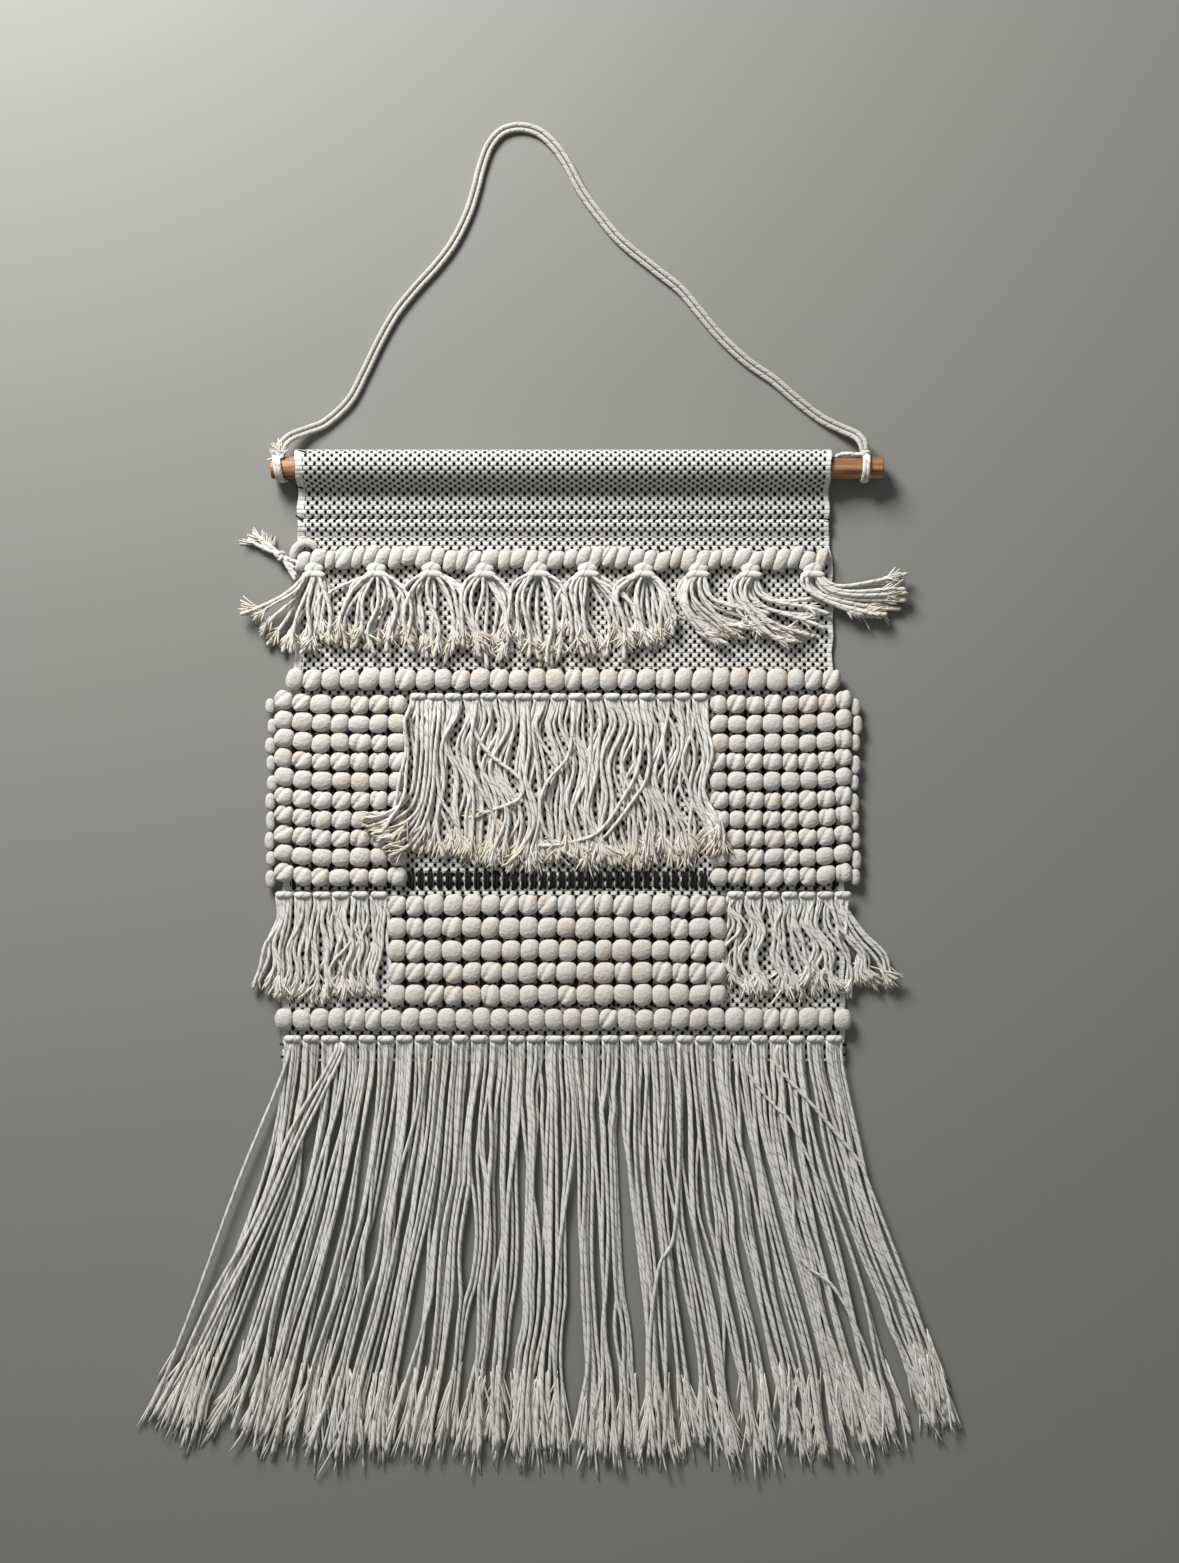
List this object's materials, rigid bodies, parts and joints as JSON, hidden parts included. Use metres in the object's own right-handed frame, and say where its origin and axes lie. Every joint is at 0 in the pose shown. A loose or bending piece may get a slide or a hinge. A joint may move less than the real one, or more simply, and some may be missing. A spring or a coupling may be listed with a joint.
{
  "type": "tapestry wall hanging",
  "caption": "Hand-woven cotton wall hanging on a wooden dowel, with rows of thick soft yarn, knotted tassels and fringes, and a hanging cord.",
  "frame": {"origin": "under the middle of the hanging laid flat face up, on its resting plane, halfway from the top fold to the fringe tips and without the hanging cord", "axes": "+X to the right along the dowel, +Y towards the hanging cord, +Z out of the face"},
  "size_m": [0.474, 0.7777, 0.0173],
  "materials": {
    "wood": "stained and lightly waxed",
    "weave": "plain weave of cream cotton over black warps",
    "thick_yarn": "soft thick cotton yarn, matt",
    "string": "twisted cotton string, matt",
    "thread": "black cotton sewing thread"
  },
  "bodies": {
    "weaving": {"rod_sleeve": "weave", "woven_cloth": "weave", "sleeve_stitching": "thread", "yarn_tail": "thick_yarn", "top_row": "thick_yarn", "upper_row": "thick_yarn", "bottom_row": "thick_yarn", "left_row_01": "thick_yarn", "left_row_02": "thick_yarn", "left_row_03": "thick_yarn", "left_row_04": "thick_yarn", "left_row_05": "thick_yarn", "left_row_06": "thick_yarn", "left_row_07": "thick_yarn", "left_row_08": "thick_yarn", "left_row_09": "thick_yarn", "left_row_10": "thick_yarn", "right_row_01": "thick_yarn", "right_row_02": "thick_yarn", "right_row_03": "thick_yarn", "right_row_04": "thick_yarn", "right_row_05": "thick_yarn", "right_row_06": "thick_yarn", "right_row_07": "thick_yarn", "right_row_08": "thick_yarn", "right_row_09": "thick_yarn", "right_row_10": "thick_yarn", "lower_row_1": "thick_yarn", "lower_row_2": "thick_yarn", "lower_row_3": "thick_yarn", "lower_row_4": "thick_yarn", "lower_row_5": "thick_yarn", "centre_knots": "string", "left_knots": "string", "right_knots": "string", "bottom_knots": "string"},
    "dowel": {"dowel": "wood"},
    "hanger": {"hitch_left": "string", "hitch_right": "string", "cord_strand_upper": "string", "cord_strand_lower": "string"},
    "tassel_01": {"tassel_01": "string"},
    "tassel_02": {"tassel_02": "string"},
    "tassel_03": {"tassel_03": "string"},
    "tassel_04": {"tassel_04": "string"},
    "tassel_05": {"tassel_05": "string"},
    "tassel_06": {"tassel_06": "string"},
    "tassel_07": {"tassel_07": "string"},
    "tassel_08": {"tassel_08": "string"},
    "tassel_09": {"tassel_09": "string"},
    "tassel_10": {"tassel_10": "string"},
    "centre_fringe": {"centre_fringe": "string"},
    "left_fringe": {"left_fringe": "string"},
    "right_fringe": {"right_fringe": "string"},
    "bottom_fringe": {"bottom_fringe": "string"}
  },
  "joints": [
    {"name": "dowel_slide", "type": "slide", "parent": "weaving", "child": "dowel", "axis": [1, 0, 0], "range_m": [-0.016, 0.0048]},
    {"name": "hanger_swing", "type": "hinge", "parent": "dowel", "child": "hanger", "pos_m": [0.008, 0.2831, 0.00865], "axis": [1, 0, 0], "range_deg": [0, 120]},
    {"name": "tassel_01_lift", "type": "hinge", "parent": "weaving", "child": "tassel_01", "pos_m": [-0.13725, 0.2266, 0.0089], "axis": [-0.866, 0.5, 0], "range_deg": [0, 90]},
    {"name": "tassel_02_lift", "type": "hinge", "parent": "weaving", "child": "tassel_02", "pos_m": [-0.108, 0.2266, 0.0089], "axis": [-1, 0, 0], "range_deg": [0, 90]},
    {"name": "tassel_03_lift", "type": "hinge", "parent": "weaving", "child": "tassel_03", "pos_m": [-0.0762, 0.2266, 0.0089], "axis": [-1, 0, 0], "range_deg": [0, 90]},
    {"name": "tassel_04_lift", "type": "hinge", "parent": "weaving", "child": "tassel_04", "pos_m": [-0.0458, 0.2266, 0.0089], "axis": [-1, 0, 0], "range_deg": [0, 90]},
    {"name": "tassel_05_lift", "type": "hinge", "parent": "weaving", "child": "tassel_05", "pos_m": [-0.0146, 0.2266, 0.0089], "axis": [-1, 0, 0], "range_deg": [0, 90]},
    {"name": "tassel_06_lift", "type": "hinge", "parent": "weaving", "child": "tassel_06", "pos_m": [0.0139, 0.2266, 0.0089], "axis": [-1, 0, 0], "range_deg": [0, 90]},
    {"name": "tassel_07_lift", "type": "hinge", "parent": "weaving", "child": "tassel_07", "pos_m": [0.0463, 0.2266, 0.0089], "axis": [-1, 0, 0], "range_deg": [0, 90]},
    {"name": "tassel_08_lift", "type": "hinge", "parent": "weaving", "child": "tassel_08", "pos_m": [0.07105, 0.2266, 0.0089], "axis": [-0.9397, -0.342, 0], "range_deg": [0, 90]},
    {"name": "tassel_09_lift", "type": "hinge", "parent": "weaving", "child": "tassel_09", "pos_m": [0.10125, 0.2266, 0.0089], "axis": [-0.766, -0.6428, 0], "range_deg": [0, 90]},
    {"name": "tassel_10_lift", "type": "hinge", "parent": "weaving", "child": "tassel_10", "pos_m": [0.13725, 0.2266, 0.0089], "axis": [0, -1, 0], "range_deg": [0, 90]},
    {"name": "centre_fringe_lift", "type": "hinge", "parent": "weaving", "child": "centre_fringe", "pos_m": [-0.0027, 0.1457, 0.007], "axis": [-1, 0, 0], "range_deg": [0, 120]},
    {"name": "left_fringe_lift", "type": "hinge", "parent": "weaving", "child": "left_fringe", "pos_m": [-0.134, 0.0323, 0.007], "axis": [-1, 0, 0], "range_deg": [0, 120]},
    {"name": "right_fringe_lift", "type": "hinge", "parent": "weaving", "child": "right_fringe", "pos_m": [0.13, 0.0323, 0.007], "axis": [-1, 0, 0], "range_deg": [0, 120]},
    {"name": "bottom_fringe_lift", "type": "hinge", "parent": "weaving", "child": "bottom_fringe", "pos_m": [0, -0.0608, 0.0073], "axis": [-1, 0, 0], "range_deg": [0, 120]}
  ]
}
